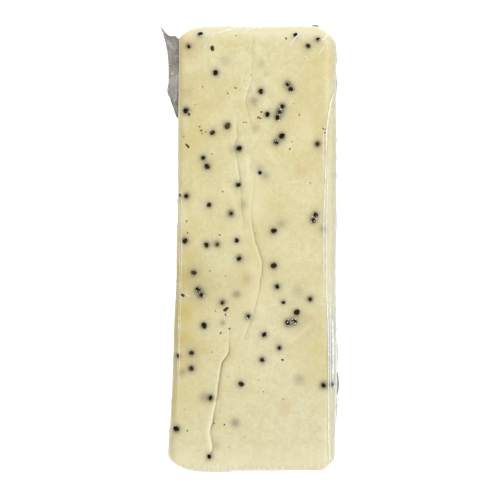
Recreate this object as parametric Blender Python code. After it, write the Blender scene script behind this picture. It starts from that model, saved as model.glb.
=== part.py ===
"""A slab of fresh white cheese with whole peppercorns through it, shrunk into clear film.

The slab lies on its broad side. Y runs along it, with the end that holds the film's ear at +Y,
X runs across it and Z up. The origin is in the middle of the face that it rests on. The film
clings to the cheese all over, so slab and skin are one solid, and only the film's free ear at
one corner is a piece of its own.
"""

import math
import random

import bmesh
import bpy
from mathutils import Matrix, Vector, noise
from mathutils.bvhtree import BVHTree

MM = 0.001

# The slab, cut from a loaf: its sides are not quite parallel and its near end is not square.
LENGTH = 300 * MM
WIDTH = 106.8 * MM
THICKNESS = 45 * MM
ASIDE = 1.6 * MM  # the far end lies this far to the right, which the flare makes up for
NEAR_FLARE = 8 * MM  # the left side swings out this far at the near end
NEAR_TAPER = 1.2 * MM  # the right side draws in this far there
TAPER_SPAN = (95 * MM, 135 * MM)  # between these places on the near half
NEAR_BULGE = 1.5 * MM  # the left part of the near end reaches this much further
BULGE_SPAN = (5 * MM, 20 * MM)  # it grows between these places left of the middle
FLARE_TURN = 3  # the higher, the nearer to the near end the flare begins
BULGE_TURN = 6  # and the bulge
HALF = Vector((WIDTH / 2, LENGTH / 2, THICKNESS / 2))

# How far the tight film has rounded each side's edges: (low side, high side) along X, Y and Z.
EDGE_ROUNDING = ((5 * MM, 9 * MM), (6 * MM, 6 * MM), (4 * MM, 7 * MM))

# The film spans the right upper edge instead of following the cheese round it: 2 is a round edge
# and more is a squarer one. It leaves the cheese between these two places along the slab.
RIGHT_FULLNESS = 3.2
FULL_ACROSS = (0.5, 0.9)  # it grows between these shares of the half width
FULL_UP = (-0.6, 0.2)  # and these of the half height, from the middle
SPAN_START = (88 * MM, 108 * MM)

# Reach of each upright corner's curve, along the end and along the side.
CORNER_REACH = {
    (-1, 1): (18 * MM, 10 * MM),
    (1, 1): (17.5 * MM, 15 * MM),
    (1, -1): (10 * MM, 11 * MM),
    (-1, -1): (28 * MM, 12.5 * MM),
}

# The soft unevenness of a fresh cheese.
CROWN = 1.2 * MM
SWELL = 0.9 * MM
SOFT_FROM = 0.2  # share of the height that keeps free of both
SWELL_PITCH = 42 * MM
SIDE_WAVE = 0.8 * MM
SIDE_WAVE_PITCH = 34 * MM
SIDE_TURN = 5  # the higher, the nearer to a side its waves begin
END_TURN = 15  # and to an end

FLAT = 0.001 * MM  # what lies nearer to the floor than this is the underside
SHARP_EDGE = math.radians(40)

# Cuts across the starting cube, and how many of them each rounded edge takes.
CUTS = (17, 49, 7)
EDGE_CUTS = (2, 2, 2)

# Fissures where the curd did not knit: width and depth at the middle, and points that the
# crease passes through on the upper face, in millimetres across and along.
FISSURES = {
    "far": (0.8 * MM, 0.4 * MM, ((-1.6, 127), (-2.4, 113), (-5.9, 102), (-4.8, 92), (-2, 83))),
    "upper": (
        0.9 * MM,
        0.45 * MM,
        ((-12.4, 92), (-12, 77), (-13.4, 68), (-10.2, 47), (-9.5, 31), (-7.4, 14)),
    ),
    "middle": (
        1.2 * MM,
        0.8 * MM,
        ((-4.6, 65), (-0.8, 46), (-2.6, 24), (0, 6), (4.9, -10), (3.4, -24), (-1, -44), (-7, -60)),
    ),
    "near": (
        1.5 * MM,
        1.0 * MM,
        (
            *((-17.2, -54), (-17.9, -70), (-22.4, -78), (-25, -96)),
            *((-28, -114), (-30, -125), (-28.4, -135), (-34, -144)),
        ),
    ),
}
FISSURE_STEP = 3 * MM
FISSURE_END = 0.15  # depth left at its two ends, as a share of the middle's
STEEP_SHARE = 0.25  # share of its width that lies on the steep side
CUTTER_RISE = 2 * MM  # how far a fissure's cutter stands above the face

# Peppercorns, partly sunk in the surface.
GRAIN_SIZE = 4.3 * MM
GRAIN_SPREAD = 0.5 * MM
GRAIN_LEAST = 3.2 * MM
GRAIN_MOST = 5 * MM
TIGHT_GRAIN = 3.8 * MM  # the most in a row, where they lie closer
GRAIN_RISE = 0.17  # height above the cheese as a share of its breadth
GRAIN_GAP = 0.2 * MM
ROW_SWAY = 0.2  # how far a grain lies out of its row, as a share of its breadth
SINGLES_APART = 9 * MM
RIM_CLEAR = (5.4 * MM, 6 * MM)  # along the sides and along the ends
GRAIN_SINK = 0.15 * MM  # keeps a grain's widest ring just inside the cheese
GRAIN_SIDES = 7
GRAIN_RINGS = 4

# Rows of grains that touch, on the upper face: the row's middle across and along in millimetres,
# how many grains, and the way the row points in degrees.
TOUCHING = (
    (16.5, 92, 3, 63),
    (22.6, 108.8, 2, -58),
    (24.1, -49.5, 2, 12),
    (-38, -30, 2, -58),
    (39.8, 21, 2, 76),
)

# The other grains that catch the eye there, across and along in millimetres.
LONE = (
    *((27.1, 144), (42.2, 141.2), (35.7, 136.4), (-37.2, 144.4), (-26.5, 118.5), (3.9, 105.9)),
    *((8.1, 90.4), (18, 75.6), (14.2, 71.6), (42.1, 70.6), (-18.7, 82.7), (-28.6, 78.2)),
    *((-35, 61.1), (-32.3, 55.2), (-30.9, 29.2), (-16.2, 23.6), (12.6, 11.8), (-32.7, 2.4)),
    *((-25.5, 2.8), (-41.3, -16.4), (37.2, -34.1), (28.2, -43.2), (-34.5, -52), (6.3, -58.1)),
    *((16.4, -67), (-42.9, -70.5), (4.9, -75.1), (-43.1, -80.9), (-9.6, -91.4), (46.3, -92.2)),
    *((51.9, -91.3), (-30, -100.8), (-53, -121.7), (-30.9, -140.5), (-11.4, 43), (12.6, -11.6)),
    *((14.8, -25.7), (19.2, -36.2)),
)

# Where the upper face has next to no pepper: middle and half reach, in millimetres.
BARE_PATCHES = (
    ((30, -128), (30, 25)),
    ((-3, 133), (20, 24)),
    ((35, 46), (19, 22)),
    ((-40, 113), (13, 17)),
    ((19, 33), (17, 13)),
    ((36, -9), (18, 19)),
    ((38, -71), (17, 15)),
    ((-44, -106), (10, 13)),
    ((0, -139), (27, 11)),
)

UPPER_SEED = 140101
UPPER_SINGLES = 10
SIDE_SEED = 5
SIDE_GRAINS = {"left": 20, "right": 20, "near": 8, "far": 8}
SIDE_MARGIN = 8 * MM  # kept free of grains above and below
SIDE_END_MARGIN = 19 * MM  # and at both ends of a side
EAR_CLEAR = 5 * MM  # no grain this near the ear's root

# The film's ear: a doubled flap of the bag that stands off the left side at the far corner.
EAR_FOOT = 86 * MM  # where it starts, along the slab
EAR_HEAD = 141.5 * MM  # where it ends at the corner
EAR_LEVEL = 26 * MM
EAR_WIDTH = 6.8 * MM
EAR_TIP = 5.8 * MM  # how much further the tip reaches sideways
EAR_LIFT = 9 * MM  # how far the tip points past the corner
EAR_RAMP = 0.33  # share of its length in which the foot widens
EAR_BULGE = 0.9 * MM  # how far its edge stands out just past that
BULGE_PLACE = (0.38, 0.055)  # the middle and reach of this, as shares of its length
EAR_TIP_TURN = 8  # the higher, the nearer to the corner the tip begins
HEAD_HOLLOW = 2.2  # the higher, the further the upper edge hangs back before its tip
HEAD_FOLD = 2 * MM  # how far a fold near the slab stands up out of that edge
FOLD_PLACE = (0.25, 0.18)  # its middle and reach, as shares of the ear's width
EAR_START = 0.04  # the first row's place, past the point where the ear has no width
EAR_WAVE = 1.6 * MM
EAR_WAVE_TURNS = (9, 1.5)  # radians along the ear and across it
EAR_THICKNESS = 0.5 * MM
EAR_CELLS = (34, 5)
GAP = 0.35 * MM  # between pieces that touch


def smooth(low, high, value):
    """0 below low and 1 above high, with an even rise between."""
    share = min(1.0, max(0.0, (value - low) / (high - low)))
    return share * share * (3 - 2 * share)


def spaced(share, axis):
    """Takes -1 to 1 on the cube to a distance from the slab's middle, with closer rows at the edges."""
    rounding = EDGE_ROUNDING[axis][share > 0]
    edge = 2 * EDGE_CUTS[axis] / (CUTS[axis] + 1)
    flat = HALF[axis] - rounding
    size = abs(share)
    if size <= 1 - edge:
        return math.copysign(flat * size / (1 - edge), share)
    return math.copysign(flat + rounding * (size - 1 + edge) / edge, share)


def fullness(place):
    """How square the edge is that a point of the cube goes to."""
    right = smooth(*FULL_ACROSS, place.x) * smooth(*FULL_UP, place.z)
    return 2 + (RIGHT_FULLNESS - 2) * right * (1 - smooth(*SPAN_START, spaced(place.y, 1)))


def rounded_block(place):
    """Takes a point of the 2 x 2 x 2 cube to a block with rounded edges."""
    power = fullness(place)
    inner, reach, out = Vector(), Vector(), Vector()
    for axis in range(3):
        at = spaced(place[axis], axis)
        low, high = EDGE_ROUNDING[axis]
        inner[axis] = min(max(at, low - HALF[axis]), HALF[axis] - high)
        reach[axis] = high if at > inner[axis] or at > 0 else low
        out[axis] = (at - inner[axis]) / reach[axis]
    out /= sum(abs(part) ** power for part in out) ** (1 / power)
    return inner + Vector([out[i] * reach[i] for i in range(3)])


def turn_corner(point):
    """Draws the block's square corners in to the curves that the slab has in plan."""
    side = (1 if point.x > 0 else -1, 1 if point.y > 0 else -1)
    reach_x, reach_y = CORNER_REACH[side]
    s = (abs(point.x) - HALF.x + reach_x) / reach_x
    t = (abs(point.y) - HALF.y + reach_y) / reach_y
    if s > 0 and t > 0:
        point.x = side[0] * (HALF.x - reach_x + reach_x * s * math.sqrt(1 - t * t / 2))
        point.y = side[1] * (HALF.y - reach_y + reach_y * t * math.sqrt(1 - s * s / 2))


def soften(point):
    """Gives the slab its crown, swells, wavy sides and uneven cut. The underside stays flat."""
    height = point.z / THICKNESS
    across, along = point.x / HALF.x, point.y / HALF.y
    swell = SWELL * noise.noise(Vector((point.x, point.y, 0)) / SWELL_PITCH)
    point.z += (CROWN * (1 - across**2) * (1 - along**2) + swell) * smooth(SOFT_FROM, 1, height)
    wave = SIDE_WAVE * noise.noise(Vector((point.x, point.y, 2 * point.z)) / SIDE_WAVE_PITCH)
    point.x += wave * across**SIDE_TURN
    point.y += wave * along**END_TURN
    nearness = 0.5 - point.y / LENGTH
    leftness = 0.5 - point.x / WIDTH
    taper = NEAR_TAPER * smooth(*TAPER_SPAN, -point.y) * (1 - leftness)
    point.y -= NEAR_BULGE * nearness**BULGE_TURN * smooth(*BULGE_SPAN, -point.x)
    point.x += ASIDE - NEAR_FLARE * nearness**FLARE_TURN * leftness - taper


def slab_mesh():
    """The slab's skin: a cube cut into rows and drawn out to the slab's form."""
    bm = bmesh.new()
    bmesh.ops.create_cube(bm, size=2)
    for axis, cuts in enumerate(CUTS):
        along = [e for e in bm.edges if abs((e.verts[0].co - e.verts[1].co)[axis]) > 0.5]
        bmesh.ops.subdivide_edges(bm, edges=along, cuts=cuts, use_grid_fill=True)
    for v in bm.verts:
        v.co = rounded_block(v.co)
        turn_corner(v.co)
        v.co.z += HALF.z
        soften(v.co)
    base = [f for f in bm.faces if all(abs(v.co.z) < FLAT for v in f.verts)]
    bmesh.ops.dissolve_faces(bm, faces=base, use_verts=False)
    return bm


def material(name, colour, roughness, alpha=1.0):
    """A plain finish for one piece."""
    made = bpy.data.materials.new(name)
    made.use_nodes = True
    shader = made.node_tree.nodes["Principled BSDF"]
    shader.inputs["Base Color"].default_value = (*colour, 1)
    shader.inputs["Roughness"].default_value = roughness
    shader.inputs["Metallic"].default_value = 0
    shader.inputs["Alpha"].default_value = alpha
    return made


def put(name, bm, finish=None, collection=None):
    """Makes an object of a finished bmesh."""
    mesh = bpy.data.meshes.new(name)
    bm.to_mesh(mesh)
    bm.free()
    piece = bpy.data.objects.new(name, mesh)
    (collection or bpy.context.scene.collection).objects.link(piece)
    if finish:
        mesh.materials.append(finish)
    return piece


def apply_boolean(piece, collection, operation):
    """Joins or cuts a piece with everything in the collection, and removes the collection's objects."""
    joiner = piece.modifiers.new(operation.lower(), "BOOLEAN")
    joiner.operand_type = "COLLECTION"
    joiner.collection = collection
    joiner.operation = operation
    joiner.solver = "EXACT"
    bpy.context.view_layer.update()
    evaluated = piece.evaluated_get(bpy.context.evaluated_depsgraph_get())
    old = piece.data
    piece.data = bpy.data.meshes.new_from_object(evaluated)
    piece.modifiers.clear()
    bpy.data.meshes.remove(old)
    for tool in list(collection.objects):
        bpy.data.objects.remove(tool)
    bpy.data.collections.remove(collection)


def work_collection(name):
    """A collection for the tools of one Boolean."""
    made = bpy.data.collections.new(name)
    bpy.context.scene.collection.children.link(made)
    return made


def curve_through(points, step):
    """Evenly spaced points of a smooth curve through the given ones."""
    ends = [2 * points[0] - points[1], *points, 2 * points[-1] - points[-2]]
    fine = []
    for a, b, c, d in zip(ends, ends[1:], ends[2:], ends[3:], strict=False):
        count = max(2, round((c - b).length / step))
        for i in range(count):
            t = i / count
            fine.append(
                b
                + (c - a) * (t / 2)
                + (2 * a - 5 * b + 4 * c - d) * (t * t / 2)
                + (3 * b - a - 3 * c + d) * (t**3 / 2)
            )
    return [*fine, points[-1]]


def fissure_cutter(name, width, depth, route, skin, collection):
    """A wedge with one steep and one easy side, drawn along a fissure and fading at both ends."""
    path = curve_through([Vector(p) * MM for p in route], FISSURE_STEP)
    bm = bmesh.new()
    rings = []
    for i, here in enumerate(path):
        ahead = path[min(i + 1, len(path) - 1)] - path[max(i - 1, 0)]
        left = Vector((-ahead.y, ahead.x)).normalized()
        surface = skin.ray_cast(Vector((here.x, here.y, 2 * THICKNESS)), Vector((0, 0, -1)))[0].z
        fade = FISSURE_END + (1 - FISSURE_END) * math.sin(math.pi * (i + 0.5) / len(path)) ** 0.5
        spread = width * (depth * fade + CUTTER_RISE) / depth
        top = surface + CUTTER_RISE
        easy = here + left * spread * (1 - STEEP_SHARE)
        steep = here - left * spread * STEEP_SHARE
        bottom = surface - depth * fade
        corners = ((easy.x, easy.y, top), (here.x, here.y, bottom), (steep.x, steep.y, top))
        rings.append([bm.verts.new(c) for c in corners])
    for one, two in zip(rings, rings[1:], strict=False):
        for k in range(3):
            bm.faces.new((one[k], one[k - 1], two[k - 1], two[k]))
    bm.faces.new(rings[0])
    bm.faces.new(rings[-1][::-1])
    bmesh.ops.recalc_face_normals(bm, faces=bm.faces[:])
    put(name, bm, collection=collection)


def grain_size(draw):
    """One peppercorn's breadth."""
    return min(GRAIN_MOST, max(GRAIN_LEAST, draw.gauss(GRAIN_SIZE, GRAIN_SPREAD)))


def is_bare(x, y):
    """Whether a place on the upper face is in a patch without pepper."""
    return any(
        ((x / MM - middle[0]) / reach[0]) ** 2 + ((y / MM - middle[1]) / reach[1]) ** 2 < 1
        for middle, reach in BARE_PATCHES
    )


def upper_grains():
    """(x, y, breadth) of each peppercorn on the upper face: the placed ones, then drawn ones."""
    draw = random.Random(UPPER_SEED)
    grains = []
    for across, along, count, bearing in TOUCHING:
        way = Vector((math.cos(math.radians(bearing)), math.sin(math.radians(bearing))))
        for i in range(count):
            size = min(grain_size(draw), TIGHT_GRAIN)
            step = (i - (count - 1) / 2) * (TIGHT_GRAIN + GRAIN_GAP)
            sway = Vector((-way.y, way.x)) * draw.uniform(-ROW_SWAY, ROW_SWAY) * size
            place = Vector((across, along)) * MM + way * step + sway
            grains.append((place.x, place.y, size))
    for across, along in LONE:
        grains.append((across * MM, along * MM, grain_size(draw)))
    singles = 0
    while singles < UPPER_SINGLES:
        x, y = [draw.uniform(RIM_CLEAR[i] - HALF[i], HALF[i] - RIM_CLEAR[i]) for i in range(2)]
        size = grain_size(draw)
        if not is_bare(x, y) and all(math.hypot(x - g[0], y - g[1]) > SINGLES_APART for g in grains):
            grains.append((x, y, size))
            singles += 1
    return grains


def side_grains():
    """(side, place along it, height, breadth) of each peppercorn on the four upright sides."""
    draw = random.Random(SIDE_SEED)
    grains = []
    for side, count in SIDE_GRAINS.items():
        reach = (HALF.y if side in ("left", "right") else HALF.x) - SIDE_END_MARGIN
        placed = []
        while len(placed) < count:
            along = draw.uniform(-reach, reach)
            height = draw.uniform(SIDE_MARGIN, THICKNESS - SIDE_MARGIN)
            size = grain_size(draw)
            by_ear = along > EAR_FOOT - EAR_CLEAR and abs(height - EAR_LEVEL) < EAR_CLEAR
            apart = all(math.hypot(along - g[0], height - g[1]) > SINGLES_APART for g in placed)
            if apart and not (side == "left" and by_ear):
                placed.append((along, height))
                grains.append((side, along, height, size))
    return grains


SIDE_WAYS = {
    "left": Vector((-1, 0, 0)),
    "right": Vector((1, 0, 0)),
    "near": Vector((0, -1, 0)),
    "far": Vector((0, 1, 0)),
}


def touch(skin, side, along, height):
    """Where a line from outside first meets the slab, and the way its skin faces there."""
    out = SIDE_WAYS[side]
    start = out * LENGTH + Vector((abs(out.y) * along, abs(out.x) * along, height))
    spot, facing = skin.ray_cast(start, -out)[:2]
    return spot, facing


def grain(name, spot, facing, size, turn, collection):
    """A flattened peppercorn that is half sunk in the skin and half proud of it."""
    bm = bmesh.new()
    bmesh.ops.create_uvsphere(bm, u_segments=GRAIN_SIDES, v_segments=GRAIN_RINGS, radius=size / 2)
    lie = facing.to_track_quat("Z", "Y").to_matrix().to_4x4()
    flatten = Matrix.Diagonal((1, 1, 2 * GRAIN_RISE, 1))
    turned = lie @ Matrix.Rotation(turn, 4, "Z") @ flatten
    place = Matrix.Translation(spot - GRAIN_SINK * facing) @ turned
    bmesh.ops.transform(bm, matrix=place, verts=bm.verts[:])
    put(name, bm, collection=collection)


def pepper_and_fissures(slab, skin):
    """Cuts the fissures into the slab, then fuses the peppercorns that stand out of it."""
    cutters = work_collection("fissure_cutters")
    for name, (width, depth, route) in FISSURES.items():
        fissure_cutter(f"fissure_{name}", width, depth, route, skin, cutters)
    apply_boolean(slab, cutters, "DIFFERENCE")
    grains = work_collection("peppercorns")
    turn = random.Random(SIDE_SEED)
    for x, y, size in upper_grains():
        spot, facing = skin.ray_cast(Vector((x, y, 2 * THICKNESS)), Vector((0, 0, -1)))[:2]
        grain("peppercorn", spot, facing, size, turn.uniform(0, math.tau), grains)
    for side, along, height, size in side_grains():
        spot, facing = touch(skin, side, along, height)
        grain("peppercorn", spot, facing, size, turn.uniform(0, math.tau), grains)
    apply_boolean(slab, grains, "UNION")


def ear_point(skin, s, t):
    """A point of the ear: s runs from its foot to the corner, t from the slab to the free edge."""
    root_y = EAR_FOOT + (EAR_HEAD - EAR_FOOT) * s
    root = touch(skin, "left", root_y, EAR_LEVEL)[0]
    middle, breadth = BULGE_PLACE
    reach = EAR_WIDTH * min(1, s / EAR_RAMP) + EAR_TIP * s**EAR_TIP_TURN
    reach += EAR_BULGE * math.exp(-(((s - middle) / breadth) ** 2))
    middle, breadth = FOLD_PLACE
    head = EAR_LIFT * t**HEAD_HOLLOW + HEAD_FOLD * math.exp(-(((t - middle) / breadth) ** 2))
    wave = EAR_WAVE * t * math.sin(EAR_WAVE_TURNS[0] * s + EAR_WAVE_TURNS[1] * t)
    along = root_y + head * s**EAR_TIP_TURN
    return Vector((root.x - GAP - reach * t, along, EAR_LEVEL + wave))


def build_ear(skin):
    """The doubled film of the ear, as one thin wavy solid."""
    bm = bmesh.new()
    bmesh.ops.create_grid(bm, x_segments=EAR_CELLS[0], y_segments=EAR_CELLS[1], size=1)
    for v in bm.verts:
        s = EAR_START + (1 - EAR_START) * (v.co.x + 1) / 2
        v.co = ear_point(skin, s, (v.co.y + 1) / 2)
    bmesh.ops.triangulate(bm, faces=bm.faces[:])
    ear = put("film_ear", bm, material("film", (0.62, 0.61, 0.58), 0.18, 0.55))
    wall = ear.modifiers.new("film_wall", "SOLIDIFY")
    wall.thickness = EAR_THICKNESS
    wall.offset = 0
    return ear


def build():
    for piece in list(bpy.data.objects):
        bpy.data.objects.remove(piece)
    bm = slab_mesh()
    skin = BVHTree.FromBMesh(bm)
    slab = put("cheese_slab", bm, material("cheese", (0.80, 0.70, 0.40), 0.35))
    pepper_and_fissures(slab, skin)
    slab.data.shade_smooth()
    slab.data.set_sharp_from_angle(angle=SHARP_EDGE)
    build_ear(skin)


build()
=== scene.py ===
import math
import random

import bmesh
import bpy
from mathutils import Matrix, Vector, noise
from mathutils.bvhtree import BVHTree
from mathutils.kdtree import KDTree


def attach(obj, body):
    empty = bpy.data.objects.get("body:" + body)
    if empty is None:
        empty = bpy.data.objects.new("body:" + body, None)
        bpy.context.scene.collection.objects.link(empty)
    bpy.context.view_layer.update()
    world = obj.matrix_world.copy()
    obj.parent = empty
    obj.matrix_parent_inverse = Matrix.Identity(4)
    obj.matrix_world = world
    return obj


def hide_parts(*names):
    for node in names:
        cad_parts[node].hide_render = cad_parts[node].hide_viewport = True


MM = 0.001
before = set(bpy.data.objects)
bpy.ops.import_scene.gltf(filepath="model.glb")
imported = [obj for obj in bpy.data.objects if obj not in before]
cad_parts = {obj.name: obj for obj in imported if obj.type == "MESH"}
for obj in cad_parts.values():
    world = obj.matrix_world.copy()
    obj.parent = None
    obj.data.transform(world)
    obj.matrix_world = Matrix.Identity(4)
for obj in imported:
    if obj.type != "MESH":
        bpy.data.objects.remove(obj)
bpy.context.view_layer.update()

# The view: a very long lens straight above the slab, with the end that has the film's ear at the
# top of the picture. The slab lies on a white table in a pale room, among four broad soft lamps.
# The room is darker overhead, so that flat film stays clear and only its folds catch the light.
VIEW_SPAN = 338.5 * MM
VIEW_MIDDLE = Vector((-3.4, -1.0, 22)) * MM
CAMERA_RISE = 6.0
camera = bpy.data.objects.new("camera", bpy.data.cameras.new("camera"))
camera.data.lens = camera.data.sensor_width * CAMERA_RISE / VIEW_SPAN
camera.location = VIEW_MIDDLE + Vector((0, 0, CAMERA_RISE))
bpy.context.scene.collection.objects.link(camera)
bpy.context.scene.camera = camera
bpy.context.scene.view_settings.view_transform = "Standard"

LAMPS = {  # place, breadth and power
    "right_lamp": (Vector((0.95, 0.0, 1.50)), 0.70, 11.0),
    "left_lamp": (Vector((-1.00, 0.0, 1.50)), 0.70, 3.5),
    "far_lamp": (Vector((0.0, 1.15, 1.30)), 0.70, 5.0),
    "near_lamp": (Vector((0.0, -1.15, 1.30)), 0.70, 4.0),
}
for name, (place, breadth, power) in LAMPS.items():
    lamp = bpy.data.objects.new(name, bpy.data.lights.new(name, "AREA"))
    lamp.data.size = breadth
    lamp.data.energy = power
    lamp.location = place
    lamp.rotation_euler = place.to_track_quat("Z", "Y").to_euler()
    bpy.context.scene.collection.objects.link(lamp)


def feed(tree, node, inputs):
    """Gives a shader node its inputs, each a constant or the socket of another node."""
    for name, value in inputs.items():
        if isinstance(value, bpy.types.NodeSocket):
            tree.links.new(value, node.inputs[name])
        else:
            node.inputs[name].default_value = value


def add(tree, kind, inputs=None, **settings):
    """Adds a shader node with its settings and inputs."""
    made = tree.nodes.new(kind)
    for name, value in settings.items():
        setattr(made, name, value)
    feed(tree, made, inputs or {})
    return made


def graded(tree, value, low, high, bottom=0.0, top=1.0):
    """A value between low and high, taken evenly to one between bottom and top."""
    inputs = {"Value": value, "From Min": low, "From Max": high, "To Min": bottom, "To Max": top}
    return add(tree, "ShaderNodeMapRange", inputs, interpolation_type="SMOOTHSTEP").outputs[0]


ROOM_LIGHT = 0.53
ROOM_OVERHEAD = 0.26
ROOM_TURN = (0.80, 0.97)  # heights of the sky, from 0 to 1, between which the room darkens
ROOM_TINT = (1.0, 0.99, 0.97, 1)
room = bpy.data.worlds.new("room")
room.use_nodes = True
bpy.context.scene.world = room
way = add(room.node_tree, "ShaderNodeTexCoord").outputs["Generated"]
rise = add(room.node_tree, "ShaderNodeSeparateXYZ", {"Vector": way}).outputs["Z"]
light = graded(room.node_tree, rise, *ROOM_TURN, ROOM_LIGHT, ROOM_OVERHEAD)
backdrop = room.node_tree.nodes["Background"]
feed(room.node_tree, backdrop, {"Strength": light, "Color": ROOM_TINT})


def shade(red, green, blue):
    """A colour as a screen shows it, from 0 to 255, in the linear values that a shader takes."""
    parts = [c / 255 for c in (red, green, blue)]
    return (*[c / 12.92 if c < 0.04 else ((c + 0.055) / 1.055) ** 2.4 for c in parts], 1)


def look(name):
    """A new material, its node tree and its main shader."""
    made = bpy.data.materials.new(name)
    made.use_nodes = True
    return made, made.node_tree, made.node_tree.nodes["Principled BSDF"]


def put(name, bm, finish):
    """Makes a smooth object of a finished bmesh."""
    mesh = bpy.data.meshes.new(name)
    bm.to_mesh(mesh)
    bm.free()
    mesh.materials.append(finish)
    mesh.shade_smooth()
    made = bpy.data.objects.new(name, mesh)
    bpy.context.scene.collection.objects.link(made)
    return made


TABLE_REACH = 3.0
TABLE_LEVEL = -0.5 * MM
TABLE_WHITE = (0.92, 0.92, 0.92, 1)
TABLE_GLOW = (1, 1, 1, 1)
white, tree, shader = look("table_white")
feed(tree, shader, {"Base Color": TABLE_WHITE, "Roughness": 0.9})
feed(tree, shader, {"Emission Color": TABLE_GLOW, "Emission Strength": 0.5})
bm = bmesh.new()
at_table = Matrix.Translation((0, 0, TABLE_LEVEL))
bmesh.ops.create_grid(bm, x_segments=2, y_segments=2, size=TABLE_REACH, matrix=at_table)
put("table", bm, white)

# The cheese: one slab of fresh curd, pressed and cut from a loaf, so its sides are not quite
# parallel. It is pale butter yellow and a little see-through, and the tight film has rounded its
# edges. Fissures run along it where the curd did not knit, and peppercorns lie all through it.
HALF = Vector((53.4, 150, 22.5)) * MM
THICKNESS = 2 * HALF.z
ASIDE = 1.6 * MM
NEAR_FLARE = 8 * MM
FLARE_TURN = 3  # the higher, the nearer to the near end the flare begins
NEAR_TAPER = 1.2 * MM
TAPER_SPAN = (95 * MM, 135 * MM)
NEAR_BULGE = 1.5 * MM
BULGE_SPAN = (5 * MM, 20 * MM)
BULGE_TURN = 6  # and the bulge
EDGE_ROUNDING = ((5 * MM, 9 * MM), (6 * MM, 6 * MM), (4 * MM, 7 * MM))
EDGE_SHARE = (0.13, 0.05, 0.28)  # how much of the starting cube each rounded edge takes
RIGHT_FULLNESS = 3.2  # the right upper edge, which the film spans, is squarer
FULL_ACROSS = (0.5, 0.9)  # it grows between these shares of the half width
FULL_UP = (-0.6, 0.2)  # and these of the half height, from the middle
SPAN_START = (88 * MM, 108 * MM)
CORNER_REACH = {
    (-1, 1): (18 * MM, 10 * MM),
    (1, 1): (17.5 * MM, 15 * MM),
    (1, -1): (10 * MM, 11 * MM),
    (-1, -1): (28 * MM, 12.5 * MM),
}
CROWN = 1.2 * MM
SWELL = 0.9 * MM
SWELL_PITCH = 42 * MM
SOFT_FROM = 0.2  # share of the height that keeps free of both
SIDE_WAVE = 0.8 * MM
SIDE_WAVE_PITCH = 34 * MM
SIDE_TURN = 5  # the higher, the nearer to a side its waves begin
END_TURN = 15  # and to an end


def smooth(low, high, value):
    """0 below low and 1 above high, with an even rise between."""
    share = min(1.0, max(0.0, (value - low) / (high - low)))
    return share * share * (3 - 2 * share)


def spaced(share, axis):
    """Takes -1 to 1 on the cube to a distance from the slab's middle, with closer rows at the edges."""
    rounding, edge = EDGE_ROUNDING[axis][share > 0], EDGE_SHARE[axis]
    flat = HALF[axis] - rounding
    size = abs(share)
    if size <= 1 - edge:
        return math.copysign(flat * size / (1 - edge), share)
    return math.copysign(flat + rounding * (size - 1 + edge) / edge, share)


def rounded_block(place, power):
    """Takes a point of the 2 x 2 x 2 cube to a block with edges that are round at a power of 2."""
    inner, reach, out = Vector(), Vector(), Vector()
    for axis in range(3):
        at = spaced(place[axis], axis)
        low, high = EDGE_ROUNDING[axis]
        inner[axis] = min(max(at, low - HALF[axis]), HALF[axis] - high)
        reach[axis] = high if at > inner[axis] or at > 0 else low
        out[axis] = (at - inner[axis]) / reach[axis]
    out /= sum(abs(part) ** power for part in out) ** (1 / power)
    return inner + Vector([out[i] * reach[i] for i in range(3)])


def turn_corner(point):
    """Draws the block's square corners in to the curves that the slab has in plan."""
    side = (1 if point.x > 0 else -1, 1 if point.y > 0 else -1)
    reach_x, reach_y = CORNER_REACH[side]
    s = (abs(point.x) - HALF.x + reach_x) / reach_x
    t = (abs(point.y) - HALF.y + reach_y) / reach_y
    if s > 0 and t > 0:
        point.x = side[0] * (HALF.x - reach_x + reach_x * s * math.sqrt(1 - t * t / 2))
        point.y = side[1] * (HALF.y - reach_y + reach_y * t * math.sqrt(1 - s * s / 2))


def soften(point):
    """Gives the slab its crown, swells, wavy sides and uneven cut. The underside stays flat."""
    height = point.z / THICKNESS
    across, along = point.x / HALF.x, point.y / HALF.y
    swell = SWELL * noise.noise(Vector((point.x, point.y, 0)) / SWELL_PITCH)
    point.z += (CROWN * (1 - across**2) * (1 - along**2) + swell) * smooth(SOFT_FROM, 1, height)
    wave = SIDE_WAVE * noise.noise(Vector((point.x, point.y, 2 * point.z)) / SIDE_WAVE_PITCH)
    point.x += wave * across**SIDE_TURN
    point.y += wave * along**END_TURN
    nearness = 0.5 - point.y / (2 * HALF.y)
    leftness = 0.5 - point.x / (2 * HALF.x)
    taper = NEAR_TAPER * smooth(*TAPER_SPAN, -point.y) * (1 - leftness)
    point.y -= NEAR_BULGE * nearness**BULGE_TURN * smooth(*BULGE_SPAN, -point.x)
    point.x += ASIDE - NEAR_FLARE * nearness**FLARE_TURN * leftness - taper


def slab_point(place, power=2.0):
    """Takes a point of the cube to the slab's skin, whose edges are round at a power of 2."""
    point = rounded_block(place, power)
    turn_corner(point)
    point.z += HALF.z
    soften(point)
    return point


def cube_skin(cuts):
    """The cube that the slab's skin is drawn out of, cut into rows along each axis."""
    bm = bmesh.new()
    bmesh.ops.create_cube(bm, size=2)
    for axis, count in enumerate(cuts):
        along = [e for e in bm.edges if abs((e.verts[0].co - e.verts[1].co)[axis]) > 0.5]
        bmesh.ops.subdivide_edges(bm, edges=along, cuts=count, use_grid_fill=True)
    return bm


def refine(bm, wanted):
    """Halves the cube's cells where the slab's skin needs a finer mesh."""
    faces = [f for f in bm.faces if wanted(slab_point(f.calc_center_median()))]
    edges = list({e for f in faces for e in f.edges})
    bmesh.ops.subdivide_edges(bm, edges=edges, cuts=1, use_grid_fill=True)


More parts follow.
